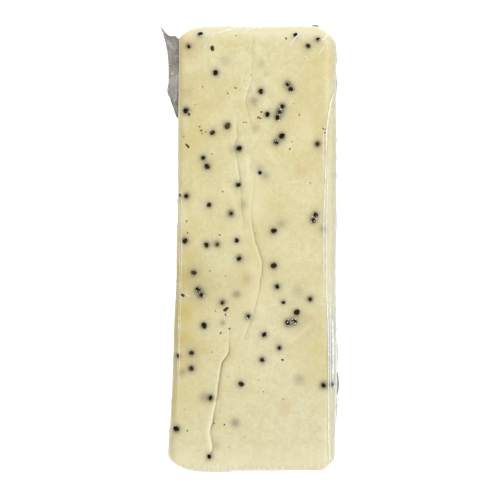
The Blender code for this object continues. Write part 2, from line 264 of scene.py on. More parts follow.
FORM_CUTS = (39, 109, 17)
bm = cube_skin(FORM_CUTS)
for v in bm.verts:
    v.co = slab_point(v.co)
form = BVHTree.FromBMesh(bm)
bm.free()

WAYS = {
    "upper": Vector((0, 0, 1)),
    "under": Vector((0, 0, -1)),
    "left": Vector((-1, 0, 0)),
    "right": Vector((1, 0, 0)),
    "near": Vector((0, -1, 0)),
    "far": Vector((0, 1, 0)),
}


def touch(tree, side, first, second):
    """Where a line from outside first meets a skin, and the way the skin faces there.
    The two places are across and along, or on an upright side along it and up."""
    out = WAYS[side]
    if out.z:
        start = Vector((first, second, 0))
    else:
        start = Vector((abs(out.y) * first, abs(out.x) * first, second))
    return tree.ray_cast(start + out * HALF.y * 2, -out)[:2]


# Where the peppercorns lie: rows that touch (middle across and along in millimetres, how many, and
# the way the row points in degrees), lone ones that catch the eye, then drawn ones kept apart.
GRAIN_SIZE = 4.3 * MM
GRAIN_SPREAD = 0.5 * MM
GRAIN_LEAST = 3.2 * MM
GRAIN_MOST = 5 * MM
TIGHT_GRAIN = 3.8 * MM
GRAIN_GAP = 0.2 * MM
ROW_SWAY = 0.2
SINGLES_APART = 9 * MM
RIM_CLEAR = (5.4 * MM, 6 * MM)
TOUCHING = (
    (16.5, 92, 3, 63),
    (22.6, 108.8, 2, -58),
    (24.1, -49.5, 2, 12),
    (-38, -30, 2, -58),
    (39.8, 21, 2, 76),
)
LONE = (
    *((27.1, 144), (42.2, 141.2), (35.7, 136.4), (-37.2, 144.4), (-26.5, 118.5), (3.9, 105.9)),
    *((8.1, 90.4), (18, 75.6), (14.2, 71.6), (42.1, 70.6), (-18.7, 82.7), (-28.6, 78.2)),
    *((-35, 61.1), (-32.3, 55.2), (-30.9, 29.2), (-16.2, 23.6), (12.6, 11.8), (-32.7, 2.4)),
    *((-25.5, 2.8), (-41.3, -16.4), (37.2, -34.1), (28.2, -43.2), (-34.5, -52), (6.3, -58.1)),
    *((16.4, -67), (-42.9, -70.5), (4.9, -75.1), (-43.1, -80.9), (-9.6, -91.4), (46.3, -92.2)),
    *((51.9, -91.3), (-30, -100.8), (-53, -121.7), (-30.9, -140.5), (-11.4, 43), (12.6, -11.6)),
    *((14.8, -25.7), (19.2, -36.2)),
)
BARE_PATCHES = (
    ((30, -128), (30, 25)),
    ((-3, 133), (20, 24)),
    ((35, 46), (19, 22)),
    ((-40, 113), (13, 17)),
    ((19, 33), (17, 13)),
    ((36, -9), (18, 19)),
    ((38, -71), (17, 15)),
    ((-44, -106), (10, 13)),
    ((0, -139), (27, 11)),
)
UPPER_SEED = 140101
UPPER_SINGLES = 10
SIDE_SEED = 5
SIDE_GRAINS = {"left": 20, "right": 20, "near": 8, "far": 8}
SIDE_MARGIN = 8 * MM
SIDE_END_MARGIN = 19 * MM
EAR_FOOT = 86 * MM
EAR_HEAD = 141.5 * MM
EAR_LEVEL = 26 * MM
EAR_CLEAR = 5 * MM
UNDER_SEED = 8
UNDER_GRAINS = 48


def plan_way(bearing):
    """The way in plan that a bearing in radians gives, turned from the right towards the far end."""
    return Vector((math.cos(bearing), math.sin(bearing)))


def grain_size(draw):
    """One peppercorn's breadth."""
    return min(GRAIN_MOST, max(GRAIN_LEAST, draw.gauss(GRAIN_SIZE, GRAIN_SPREAD)))


def is_bare(x, y):
    """Whether a place on the upper face is in a patch without pepper."""
    return any(
        ((x / MM - middle[0]) / reach[0]) ** 2 + ((y / MM - middle[1]) / reach[1]) ** 2 < 1
        for middle, reach in BARE_PATCHES
    )


def apart(x, y, others):
    """Whether a place is far enough from those already taken."""
    return all(math.hypot(x - g[0], y - g[1]) > SINGLES_APART for g in others)


def anywhere(draw):
    """A place across and along a broad face, clear of its rim."""
    return [draw.uniform(RIM_CLEAR[i] - HALF[i], HALF[i] - RIM_CLEAR[i]) for i in range(2)]


def upper_grains():
    """(x, y, breadth) of each peppercorn on the upper face."""
    draw = random.Random(UPPER_SEED)
    grains = []
    for across, along, count, bearing in TOUCHING:
        way = plan_way(math.radians(bearing))
        for i in range(count):
            size = min(grain_size(draw), TIGHT_GRAIN)
            step = (i - (count - 1) / 2) * (TIGHT_GRAIN + GRAIN_GAP)
            sway = Vector((-way.y, way.x)) * draw.uniform(-ROW_SWAY, ROW_SWAY) * size
            place = Vector((across, along)) * MM + way * step + sway
            grains.append((place.x, place.y, size))
    for across, along in LONE:
        grains.append((across * MM, along * MM, grain_size(draw)))
    whole = len(grains) + UPPER_SINGLES
    while len(grains) < whole:
        x, y = anywhere(draw)
        size = grain_size(draw)
        if not is_bare(x, y) and apart(x, y, grains):
            grains.append((x, y, size))
    return grains


def side_grains():
    """(side, place along it, height, breadth) of each peppercorn on the four upright sides."""
    draw = random.Random(SIDE_SEED)
    grains = []
    for side, count in SIDE_GRAINS.items():
        reach = (HALF.y if side in ("left", "right") else HALF.x) - SIDE_END_MARGIN
        placed = []
        while len(placed) < count:
            along = draw.uniform(-reach, reach)
            height = draw.uniform(SIDE_MARGIN, THICKNESS - SIDE_MARGIN)
            size = grain_size(draw)
            by_ear = along > EAR_FOOT - EAR_CLEAR and abs(height - EAR_LEVEL) < EAR_CLEAR
            if apart(along, height, placed) and not (side == "left" and by_ear):
                placed.append((along, height))
                grains.append((side, along, height, size))
    return grains


def under_grains():
    """(x, y, breadth) of each peppercorn that lies flush with the underside."""
    draw = random.Random(UNDER_SEED)
    grains = []
    while len(grains) < UNDER_GRAINS:
        x, y = anywhere(draw)
        if apart(x, y, grains):
            grains.append((x, y, grain_size(draw)))
    return grains


placed = [("upper", *grain) for grain in upper_grains()]
placed += side_grains()
placed += [("under", *grain) for grain in under_grains()]
grains = [(side, *touch(form, side, first, second), size) for side, first, second, size in placed]

# Peppercorns that lie deeper, and show only as a soft grey shadow: across and along in
# millimetres, breadth of the shadow, and how dark it is. The last three are broad greyish patches.
SUNKEN = (
    (-0.7, 99.2, 5.0, 0.55),
    (-45.4, 105.3, 6.5, 0.18),
    (-19.6, 126.3, 5.5, 0.25),
    (0.4, 81, 4.0, 0.30),
    (-13.5, 67.4, 4.6, 0.50),
    (6.8, 49.1, 4.6, 0.50),
    (-8.1, 29.5, 5.0, 0.40),
    (17.6, 16.6, 5.0, 0.42),
    (46.4, 13.2, 5.0, 0.55),
    (29.1, -28.8, 6.5, 0.28),
    (29.8, -88.3, 5.4, 0.42),
    (-13.5, -117.5, 5.2, 0.62),
    (-34.4, -100.2, 5.0, 0.45),
    (-5.4, -20.5, 5.0, 0.22),
    (4.7, 124.6, 4.0, 0.28),
    (8.1, 118.1, 3.2, 0.22),
    (3.0, 53.8, 4.0, 0.40),
    (-25.7, -132.7, 4.4, 0.24),
    (-49.2, -83.4, 4.2, 0.50),
    (-52.3, -72.6, 4.0, 0.70),
    (-12.4, -30.8, 4.6, 0.60),
    (-21.9, -50.0, 3.4, 0.60),
    (-40.0, -22.0, 28.0, 0.16),
    (-45.0, -68.0, 20.0, 0.10),
    (35.0, -53.0, 12.0, 0.12),
)
# Stains that the curd has taken from the pepper, and places where it is more golden.
STAINS = (
    (30.5, 51.8, 7.0, 0.40),
    (-4.2, -20.0, 11.0, 0.34),
    (19.6, -106, 8.0, 0.38),
    (34.5, -47.1, 7.0, 0.35),
    (-45.0, 137.0, 14.0, 0.35),
    (-49.5, 6.0, 10.0, 0.30),
    (-22.0, -33.5, 16.0, 0.18),
)
GOLDEN = (
    (-49.5, -44.0, 17.0, 1.0),
    (-48.5, -60.0, 15.0, 0.9),
    (-49.0, -18.0, 15.0, 0.9),
    (-40.0, -16.0, 13.0, 0.5),
    (-50.0, -74.0, 14.0, 0.6),
    (-47.0, -96.0, 20.0, 0.35),
    (-47.0, 40.0, 22.0, 0.25),
    (45.0, 78.0, 22.0, 0.25),
    (-45.0, -8.0, 16.0, 0.5),
    (-36.0, -24.0, 14.0, 0.35),
    (-42.0, -68.0, 20.0, 0.45),
    (43.0, -68.0, 16.0, 0.45),
    (43.0, -84.0, 14.0, 0.35),
    (35.0, -53.0, 14.0, 0.3),
    (45.0, 122.0, 20.0, 0.35),
    (-44.0, 76.0, 26.0, 0.3),
    (18.0, 36.0, 18.0, 0.2),
)
BLOT_END = 1.5  # in breadths from its middle, past which a mark has faded out
BLOT_SHARPNESS = 1.2


def blot(point, rows):
    """How strongly soft round marks on the upper face show at a point."""
    if point.z < THICKNESS / 2:
        return 0.0
    strength = 0.0
    for x, y, breadth, most in rows:
        off = math.hypot(point.x / MM - x, point.y / MM - y) / breadth
        if off < BLOT_END:
            strength = max(strength, most * math.exp(-((off * 2) ** 2) / 2 * BLOT_SHARPNESS))
    return strength


# Fissures: width and depth at the middle, and points that the crease passes through on the upper
# face, from the far end to the near one, in millimetres across and along. The left wall of each is
# steep and its lip stands a little proud, and the right one slopes away.
FISSURES = {
    "end": (0.6 * MM, 0.22 * MM, ((-1.0, 142), (-2.1, 135), (-1.5, 126))),
    "far": (0.8 * MM, 0.4 * MM, ((-1.6, 127), (-2.4, 113), (-5.9, 102), (-4.8, 92), (-2, 83))),
    "upper": (
        0.9 * MM,
        0.45 * MM,
        ((-12.4, 92), (-12, 77), (-13.4, 68), (-10.2, 47), (-9.5, 31), (-7.4, 14)),
    ),
    "middle": (
        1.2 * MM,
        0.8 * MM,
        ((-4.6, 65), (-0.8, 46), (-2.6, 24), (0, 6), (4.9, -10), (3.4, -24), (-1, -44), (-7, -60)),
    ),
    "near": (
        1.5 * MM,
        1.0 * MM,
        (
            *((-17.2, -54), (-17.9, -70), (-22.4, -78), (-25, -96)),
            *((-28, -114), (-30, -125), (-28.4, -135), (-34, -144)),
        ),
    ),
}
FILM_HIDES = {"middle": 0.25}  # share of a fissure's depth that the film bridges
FAINT_BEYOND = {"middle": 18 * MM}  # further along than this it hides most of it
FAINT_BLEND = 8 * MM
FAINT_SHARE = 0.45
FISSURE_STEP = 0.8 * MM
FISSURE_END = 0.15
FISSURE_FIELD = 6 * MM  # past this it has no hold on the curd
FISSURE_TAIL = (0.5 * MM, 2.5 * MM)  # it fades out over this stretch beyond its end
STEEP_SHARE = 0.25  # how much of its breadth the steep wall takes
WALL_SPREAD = 1.3  # the breadth of both walls, in widths of the fissure
WALL_CURVE = 1.3  # the higher, the more hollow they are
FISSURE_WANDER = 0.5 * MM
WANDER_PITCH = 6 * MM
VIGOUR = 0.95
VIGOUR_SPREAD = 0.7
VIGOUR_PITCH = 14 * MM
VIGOUR_SLICE = Vector((0, 0, 5))
# The lip's paleness is a painted highlight, and the dark line and the darker right flank are painted
# shade.
LIP_RISE = 0.08 * MM
LIP_PLACE = 1.1 * MM
LIP_REACH = 0.6 * LIP_PLACE
LIP_PALE = 0.7
FLANK_DEPTH = 0.10 * MM
FLANK_REACH = 2.6 * MM
FLANK_DARK = 0.22
LINE_PLACE = 0.1 * MM
LINE_REACH = 0.42 * MM
LINE_DARK = 0.85
DEEPEST = 1.0 * MM
# Pale veins on the upper face, partly pale streaks in the curd and partly painted highlight on the
# fissures' lips: breadth in millimetres, strength, and the route. The last four are broad and stand for
# whole pale patches.
VEINS = (
    (3.4, 0.80, ((-26.3, -104.5), (-28.8, -113), (-30.8, -122), (-30.6, -129), (-29.4, -135))),
    (0.9, 0.95, ((-25.0, -102.5), (-26.6, -109), (-27.8, -115))),
    (2.4, 0.45, ((-3.8, 117), (-2.6, 113), (-0.6, 108.5))),
    (1.4, 0.55, ((1.2, 142), (1.8, 135.5))),
    (3.2, 0.35, ((-5.4, 62), (-4.4, 54), (-4.8, 45))),
    (2.6, 0.30, ((-13.5, 88), (-14.6, 76), (-15.4, 68))),
    (3.0, 0.30, ((9.0, 66), (12.0, 60), (16.0, 57))),
    (4.0, 0.28, ((-19.0, 40), (-14.0, 34), (-12.0, 24))),
    (3.6, 0.30, ((24.0, -62), (30.0, -58), (37.0, -52))),
    (14.0, 0.38, ((0.0, 48), (0.5, 36), (0.0, 24))),
    (12.0, 0.30, ((0.0, -14), (2.0, -26), (1.0, -38))),
    (12.0, 0.25, ((-12.0, 14), (-12.0, 2))),
    (12.0, 0.28, ((34.0, 86), (35.0, 76))),
)


def curve_through(points, step):
    """Evenly spaced points of a smooth curve through the given ones."""
    ends = [2 * points[0] - points[1], *points, 2 * points[-1] - points[-2]]
    fine = []
    for a, b, c, d in zip(ends, ends[1:], ends[2:], ends[3:], strict=False):
        count = max(2, round((c - b).length / step))
        for i in range(count):
            t = i / count
            fine.append(
                b
                + (c - a) * (t / 2)
                + (2 * a - 5 * b + 4 * c - d) * (t * t / 2)
                + (3 * b - a - 3 * c + d) * (t**3 / 2)
            )
    return [*fine, points[-1]]


creases = []  # (place, way to the right, width, depth) at each step of every fissure
for name, (width, depth, route) in FISSURES.items():
    faint_place = FAINT_BEYOND.get(name, 2 * HALF.y)
    path = curve_through([Vector((*p, 0)) * MM for p in route], FISSURE_STEP)
    for i, here in enumerate(path):
        ahead = path[min(i + 1, len(path) - 1)] - path[max(i - 1, 0)]
        right = Vector((-ahead.y, ahead.x, 0)).normalized()
        fade = FISSURE_END + (1 - FISSURE_END) * math.sin(math.pi * (i + 0.5) / len(path)) ** 0.5
        wander = noise.noise(here / WANDER_PITCH) + 0.5 * noise.noise(3 * here / WANDER_PITCH)
        vigour = VIGOUR + VIGOUR_SPREAD * noise.noise(here / VIGOUR_PITCH + VIGOUR_SLICE)
        faint = smooth(faint_place - FAINT_BLEND, faint_place + FAINT_BLEND, here.y)
        shown_depth = depth * fade * vigour * (1 - (1 - FAINT_SHARE) * faint)
        shown_depth *= 1 - FILM_HIDES.get(name, 0)
        creases.append((here + right * wander * FISSURE_WANDER, right, width, shown_depth))
crease_tree = KDTree(len(creases))
for i, crease in enumerate(creases):
    crease_tree.insert(crease[0], i)
crease_tree.balance()
grain_tree = KDTree(len(grains))
for i, (_, spot, _, _) in enumerate(grains):
    grain_tree.insert(spot, i)
grain_tree.balance()


def off_crease(point):
    """How far a point of the upper face lies to the right of the nearest fissure, and that
    fissure's width and depth there."""
    _, i, away = crease_tree.find(Vector((point.x, point.y, 0)))
    place, right, width, depth = creases[i]
    if point.z < THICKNESS / 2 or away > FISSURE_FIELD:
        return None
    side = (point - place).dot(right)
    beyond = math.sqrt(max(0.0, away * away - side * side))
    return side, width, depth * (1 - smooth(*FISSURE_TAIL, beyond))


def bell(off, reach):
    """1 at a place, with an even fall on both sides of it."""
    return math.exp(-((off / reach) ** 2))


def off_vein(point):
    """How strongly a pale vein shows at a point of the upper face."""
    strength = 0.0
    if point.z < THICKNESS / 2:
        return strength
    for breadth, most, path in veins:
        if abs(point.y - path[len(path) // 2].y) > VEIN_FIELD:
            continue
        away = min((point.xy - step).length for step in path)
        strength = max(strength, most * bell(2 * away, breadth))
    return strength


SHOWN_SEED = 4
SHOWN_LEAST = 0.56  # share of a grain's bump that is bare skin, inside its collar of curd
SHOWN_MOST = 0.92
SHOWN_WIDEST = 3.5 * MM
ROW_SHOWN = 0.90  # in a row the bare skins all but touch
ROW_GRAINS = sum(row[2] for row in TOUCHING)
shown_draw = random.Random(SHOWN_SEED)
shown = [shown_draw.uniform(SHOWN_LEAST, SHOWN_MOST) for _ in grains]
shown = [min(share, SHOWN_WIDEST / grain[3]) for share, grain in zip(shown, grains, strict=True)]
shown[:ROW_GRAINS] = [ROW_SHOWN] * ROW_GRAINS
VEIN_FIELD = 20 * MM
veins = [
    (breadth * MM, most, [p.xy for p in curve_through([Vector((*q, 0)) * MM for q in route], MM)])
    for breadth, most, route in VEINS
]

# Where the film's two long creases run, across and along in millimetres. Painted shade darkens the curd
# between the left one and the edge, and a painted grey-blue cast of the film over air cools it right of
# the right one.
LEFT_CREASE = ((-49.1, 70), (-49.2, 44), (-49.5, 5), (-50.2, -35), (-51.0, -75), (-52.0, -112))
RIGHT_CREASE = (
    *((54.4, 105.3), (51.6, 92), (48.6, 79.5), (47.9, 62), (46.6, 40), (46.2, 15)),
    *((46.6, -10), (48.2, -30), (49.0, -50), (49.4, -100), (49.6, -120), (50.2, -147)),
)


def across_at(route, along):
    """A route's place across, or another value listed with its place along, at a place along."""
    rows = sorted(route, key=lambda row: row[1])
    for (one, low), (two, high) in zip(rows, rows[1:], strict=False):
        if low * MM <= along < high * MM:
            return one + (two - one) * (along / MM - low) / (high - low)
    return rows[0][0] if along < rows[0][1] * MM else rows[-1][0]


CHEESE_CUTS = (71, 199, 31)
PEPPER_FIELD = 5.2 * MM  # the mesh is finer this near a peppercorn
FISSURE_BESIDE = (-2.2 * MM, 3.4 * MM)  # and between these places across a fissure
FISSURE_INSIDE = (-0.9 * MM, 1.5 * MM)  # and finer again between these
FOOT = 6 * MM  # the table keeps the curd's sides plain below this height
FILM_ROOM = 0.25 * MM  # the cheese lies this far inside the film's outer face
GRAIN_COLLAR = 0.22 * MM
COLLAR_REACH = 2.4 * MM
HALO_NEAR = (0.74, 1.0 * MM)  # the painted shade close round a grain: strength and reach
HALO_WIDE = (0.24, 3.3 * MM)  # the cool painted shade further out
HALO_FIELD = 7 * MM
HALO_SEED = 21
HALO_LEAST = 0.75
HALO_MOST = 1.12
HALO_CAP = 0.95
CURD_WAVE = 0.22 * MM
CURD_PITCH = 11 * MM
UPPER_PART = (26 * MM, 40 * MM)  # the film's tints near the edges grow between these heights
LEFT_SHADE = (  # how much painted shade darkens the curd beyond the left crease, and the place along it
    *((0.04, -140), (0.06, -122), (0.30, -100), (0.28, -60), (0.30, -20), (0.10, 8), (0.02, 60)),
)
SHADE_BLEND = (0, 1 * MM)  # it sets in over this stretch past the crease
# Painted shade on the left-facing upper rim, away from the key lamp.
LEFT_RIM_SHADE = 0.32
LEFT_RIM_UP = (8 * MM, 22 * MM)
LEFT_RIM_FACING = (0.5, 0.95)
# Amber on the left-facing rim beside the ear, partly the curd's tone and partly painted shade.
EAR_SIDE_GOLD = 0.35
EAR_SIDE_SPAN = (EAR_FOOT - 8 * MM, EAR_FOOT + 6 * MM)
# Painted light on the upper rims of both ends.
FAR_PALE = 0.75
FAR_PALE_SPAN = (HALF.y - 13 * MM, HALF.y - 2 * MM)
NEAR_PALE = 0.35
NEAR_PALE_SPAN = (HALF.y - 22 * MM, HALF.y - 1 * MM)
# Painted light: a grey-blue cast of the film standing off over air, along a stretch right of the right
# crease and on the right-facing rim.
COOL_PLACE = (-66 * MM, 26 * MM)  # the middle and half length of the cool stretch on the right
COOL_MOST = 0.75
COOL_BLEND = (-0.3 * MM, 1 * MM)  # it sets in over this stretch past the right crease
RIGHT_RIM_COOL = 0.45
RIGHT_RIM_FACING = (0.45, 0.9)
FOLD_SHADE = 0.42  # the painted shadow line just left of the right crease, along the cool stretch
FOLD_SHADE_PLACE = (0.6 * MM, 0.9 * MM)


def near_pepper(point):
    """Whether a point lies close to a peppercorn."""
    return grain_tree.find(point)[2] < PEPPER_FIELD


def by_fissure(point, low, high):
    """Whether a point lies between two places across the nearest fissure."""
    found = off_crease(point)
    return found is not None and low < found[0] < high and found[2] > 0


bm = cube_skin(CHEESE_CUTS)
refine(bm, lambda point: near_pepper(point) or by_fissure(point, *FISSURE_BESIDE))
refine(bm, lambda point: by_fissure(point, *FISSURE_INSIDE))
for v in bm.verts:
    v.co = slab_point(v.co)
bm.normal_update()
halo, shadow, stain, gold, crease_shade, pale_and_lit, painted_shade, cool = (
    bm.verts.layers.float.new(mark)
    for mark in ("halo", "shadow", "stain", "gold", "crease", "lip_and_light", "painted_shade", "cool")
)
halo_draw = random.Random(HALO_SEED)
halo_strength = [halo_draw.uniform(HALO_LEAST, HALO_MOST) for _ in grains]
for v in bm.verts:
    point, lift = v.co.copy(), -FILM_ROOM
    edge = smooth(0, FOOT, point.z)
    lift += edge * CURD_WAVE * noise.noise(point / CURD_PITCH)
    # Painted shade round each peppercorn, and the collar of curd that it lifts
    for _, i, away in grain_tree.find_range(point, GRAIN_MOST / 2 + HALO_FIELD):
        rim = max(0.0, away - shown[i] * grains[i][3] / 2)
        blur = HALO_NEAR[0] * math.exp(-rim / HALO_NEAR[1])
        blur += HALO_WIDE[0] * bell(rim, HALO_WIDE[1])
        v[halo] = 1 - (1 - v[halo]) * (1 - min(HALO_CAP, blur * halo_strength[i]))
        lift += edge * GRAIN_COLLAR * (1 - smooth(0, COLLAR_REACH, rim))
    found = off_crease(point)
    if found:
        side, width, depth = found
        reach = width * ((1 - STEEP_SHARE) if side > 0 else STEEP_SHARE) * WALL_SPREAD
        strength = min(1.0, depth / DEEPEST)
        lift -= depth * max(0.0, 1 - abs(side) / reach) ** WALL_CURVE
        flank = bell(side, FLANK_REACH) if side > 0 else 0.0
        lip_and_light = bell(side + LIP_PLACE, LIP_REACH)
        lift += strength * (LIP_RISE * lip_and_light - FLANK_DEPTH * flank)
        # Painted shade along the crease and on its right flank, and a painted highlight on its lip
        line = bell(side - LINE_PLACE, LINE_REACH)
        v[crease_shade] = strength * max(LINE_DARK * line, FLANK_DARK * flank)
        v[pale_and_lit] = strength * LIP_PALE * lip_and_light
    high = smooth(*UPPER_PART, point.z)
    # Painted light: the upper rims at both ends are paler
    far_end = FAR_PALE * high * smooth(*FAR_PALE_SPAN, point.y)
    near_end = NEAR_PALE * high * smooth(*NEAR_PALE_SPAN, -point.y)
    v[pale_and_lit] = max(v[pale_and_lit], off_vein(point), far_end, near_end)
    v[shadow] = blot(point, SUNKEN)
    v[stain] = blot(point, STAINS)
    left_rim = smooth(*LEFT_RIM_UP, point.z) * smooth(*LEFT_RIM_FACING, -v.normal.x)
    # Amber by the ear on the left-facing rim, partly painted shade
    by_ear = smooth(*EAR_SIDE_SPAN, point.y)
    v[gold] = max(blot(point, GOLDEN), EAR_SIDE_GOLD * by_ear * left_rim)
    # Painted shade beyond the left crease and on the left-facing rim
    past = across_at(LEFT_CREASE, point.y) * MM - point.x
    beyond = across_at(LEFT_SHADE, point.y) * high * smooth(*SHADE_BLEND, past)
    v[painted_shade] = min(1.0, beyond + LEFT_RIM_SHADE * left_rim)
    past = point.x - across_at(RIGHT_CREASE, point.y) * MM
    # Painted grey-blue cast of the film over air right of the right crease, and a painted shadow line
    # beside it
    middle, half = COOL_PLACE
    stretch = math.exp(-(((point.y - middle) / half) ** 4))
    v[cool] = COOL_MOST * stretch * high * smooth(*COOL_BLEND, past)
    off, reach = FOLD_SHADE_PLACE
    v[painted_shade] = max(v[painted_shade], FOLD_SHADE * stretch * high * bell(past + off, reach))
    # Painted grey-blue cast on the right-facing rim
    v[cool] = max(v[cool], RIGHT_RIM_COOL * high * smooth(*RIGHT_RIM_FACING, v.normal.x))
    v.co = point + v.normal * lift

# The curd's colours, from its pale and buttery mottle to what pepper, film and folds do to it. The
# greys, the olive and the crease tan are painted shade, the pale blue is a painted cast of the film
# over air, and the lip cream serves as a painted highlight as well as for pale specks.
CREAM = shade(228, 222, 181)
BUTTER = shade(219, 208, 154)
DEEP_BUTTER = shade(210, 197, 148)
COOL = shade(221, 216, 184)
AMBER = shade(208, 190, 118)
TAN = shade(206, 172, 122)
GREY = shade(112, 103, 80)
COOL_GREY = shade(150, 148, 134)
SHADOW_GREY = shade(105, 94, 80)
CREASE_SHADE = shade(140, 116, 70)
LIP_CREAM = shade(242, 236, 201)
SHADE_OLIVE = shade(176, 160, 98)
PALE_BLUE = shade(172, 180, 182)
# Its mottles: cells in a metre, detail and roughness.
BROAD_MOTTLE = (30, 4, 0.6)
FINE_MOTTLE = (150, 4, 0.6)
SPECKS = (520, 4, 0.65)
CURD_GRAIN = (420, 4, 0.6)


def over(tree, share, under, top):
    """One colour laid over another by a share."""
    return add(tree, "ShaderNodeMix", {0: share, 6: under, 7: top}, data_type="RGBA").outputs[2]


def figure(tree, operation, *values):
    """Arithmetic on two or three shader values."""
    return add(tree, "ShaderNodeMath", dict(enumerate(values)), operation=operation).outputs[0]


def mottle(tree, coords, scale, detail, roughness):
    """Soft uneven noise of a given scale, in cells in a metre."""
    inputs = {"Vector": coords, "Scale": scale, "Detail": detail, "Roughness": roughness}
    return add(tree, "ShaderNodeTexNoise", inputs).outputs["Fac"]


def mask(tree, name):
    """A mark that was painted on the mesh."""
    return add(tree, "ShaderNodeAttribute", attribute_name=name).outputs["Fac"]


def relief(tree, height, strength, distance):
    """The facing of a skin with fine relief, which is this high in metres."""
    inputs = {"Height": height, "Strength": strength, "Distance": distance}
    return add(tree, "ShaderNodeBump", inputs).outputs[0]


curd, tree, shader = look("fresh_curd")
coords = add(tree, "ShaderNodeTexCoord").outputs["Object"]
place = add(tree, "ShaderNodeSeparateXYZ", {"Vector": coords})
broad = mottle(tree, coords, *BROAD_MOTTLE)
fine = mottle(tree, coords, *FINE_MOTTLE)
colour = over(tree, graded(tree, broad, 0.34, 0.66), BUTTER, CREAM)
slope = figure(tree, "SUBTRACT", place.outputs["X"], place.outputs["Y"])
speck = mottle(tree, coords, *SPECKS)
washes = (  # what each wash follows, between which values, its share at both, and its colour
    (slope, -0.10, 0.21, 0, 0.85, COOL),
    (fine, 0.40, 0.68, 0, 0.45, DEEP_BUTTER),
    (speck, 0.40, 0.70, 0, 0.5, DEEP_BUTTER),
    (speck, 0.30, 0.44, 0.3, 0, LIP_CREAM),
)
for value, low, high, bottom, top, wash in washes:
    colour = over(tree, graded(tree, value, low, high, bottom, top), colour, wash)
# The golden tone and the stains are the curd's own, though the gold on the left rim by the ear is
# partly painted shade; the cool cast and the olive are painted light and shade.
for mark, wash in (("gold", AMBER), ("stain", TAN), ("cool", PALE_BLUE), ("painted_shade", SHADE_OLIVE)):
    colour = over(tree, mask(tree, mark), colour, wash)
# Painted shade round each peppercorn, partly its stain in the curd: the dark grain seen through the
# curd and the shade close round it
blur = mask(tree, "halo")
colour = over(tree, blur, colour, over(tree, graded(tree, blur, 0.1, 0.6), COOL_GREY, GREY))
# Painted shadows of buried grains and broad grey patches, painted highlight on lips and end rims with
# pale veins, and painted shade in the fissures
for mark, wash in (("shadow", SHADOW_GREY), ("lip_and_light", LIP_CREAM), ("crease", CREASE_SHADE)):
    colour = over(tree, mask(tree, mark), colour, wash)
finish = {
    "Base Color": colour,
    "Normal": relief(tree, mottle(tree, coords, *CURD_GRAIN), 0.35, 0.25 * MM),
    "Roughness": graded(tree, fine, 0.3, 0.7, 0.38, 0.55),
    "Subsurface Weight": 0.18,
    "Subsurface Radius": (1.0, 0.8, 0.45),
    "Subsurface Scale": 2.5 * MM,
    "Specular IOR Level": 0.22,
    "Coat Weight": 0.15,
    "Coat Roughness": 0.18,
}
feed(tree, shader, finish)
cheese = put("cheese", bm, curd)
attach(cheese, "root")
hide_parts("cheese_slab")

# The peppercorns: dried black berries with a wrinkled skin, stirred into the curd whole. The
# press has pushed the outer ones nearly flush, so each shows as a low dark dome in its hollow.
GRAIN_RISE = 0.155  # height of the dome, as a share of the peppercorn's breadth
SIDE_RISE = 0.05
GRAIN_BELLY = 0.8
WRINKLE = 0.22 * MM
WRINKLE_PITCH = 1.5 * MM
DENT = 0.75 * MM
DENT_PITCH = 2.6 * MM
BROWN_TURN = 5  # the higher, the fewer grains are brown
FLUSH_DEPTH = 0.12 * MM
FLUSH_RISE = 0.02
WRINKLE_SPREAD = 40  # how far apart in the noise two grains take their wrinkles
DENT_SPREAD = 90
RIDGE_LEVEL = 0.75
GRAIN_LONG = (0.96, 1.16)
GRAIN_NARROW = (0.78, 0.96)
GRAIN_FINENESS = 3
UPPER_FINENESS = 4
WRINKLE_SEED = 33
wrinkles = random.Random(WRINKLE_SEED)
bm = bmesh.new()
worn = bm.verts.layers.float.new("worn")
for (side, spot, facing, size), share in zip(grains, shown, strict=True):
    fineness = UPPER_FINENESS if side == "upper" else GRAIN_FINENESS
    ball = bmesh.ops.create_icosphere(bm, subdivisions=fineness, radius=share * size / 2)
    drift = Vector([wrinkles.uniform(-1, 1) for _ in range(3)])
    rise = {"upper": GRAIN_RISE, "under": FLUSH_RISE}.get(side, SIDE_RISE) / share
    brown = abs(drift.x) ** BROWN_TURN
    for v in ball["verts"]:
        v[worn] = brown
        ridge = 1 - abs(2 * noise.noise(v.co / WRINKLE_PITCH + drift * WRINKLE_SPREAD))
        dent = noise.noise(v.co / DENT_PITCH + drift * DENT_SPREAD)
        v.co += v.co.normalized() * (WRINKLE * (ridge - RIDGE_LEVEL) + DENT * dent)
        v.co.z *= 2 * rise if v.co.z > 0 else GRAIN_BELLY
    lie = facing.to_track_quat("Z", "Y").to_matrix().to_4x4()
    oval = Matrix.Diagonal((wrinkles.uniform(*GRAIN_LONG), wrinkles.uniform(*GRAIN_NARROW), 1, 1))
    turn = Matrix.Rotation(wrinkles.uniform(0, math.tau), 4, "Z")
    at = Matrix.Translation(spot - facing * FLUSH_DEPTH) @ lie @ turn @ oval
    bmesh.ops.transform(bm, matrix=at, verts=ball["verts"])

BERRY_DARK = shade(20, 14, 7)
BERRY_BROWN = shade(52, 39, 24)
BERRY_CORE = shade(86, 64, 40)
SKIN_PATCHES = (260, 4, 0.6)  # cells in a metre, detail and roughness
SKIN_RIDGES = (1400, 4, 0.65)
berry, tree, shader = look("black_berry_skin")
coords = add(tree, "ShaderNodeTexCoord").outputs["Object"]
patchy = mottle(tree, coords, *SKIN_PATCHES)
ridges = mottle(tree, coords, *SKIN_RIDGES)
skin = over(tree, graded(tree, patchy, 0.42, 0.66), BERRY_DARK, BERRY_BROWN)
bare = over(tree, graded(tree, patchy, 0.38, 0.60), BERRY_BROWN, BERRY_CORE)
finish = {
    "Base Color": over(tree, mask(tree, "worn"), skin, bare),
    "Normal": relief(tree, ridges, 0.7, 0.2 * MM),
    "Roughness": graded(tree, ridges, 0.3, 0.7, 0.4, 0.65),
    "Specular IOR Level": 0.05,
}
feed(tree, shader, finish)
peppercorns = put("peppercorns", bm, berry)
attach(peppercorns, "root")

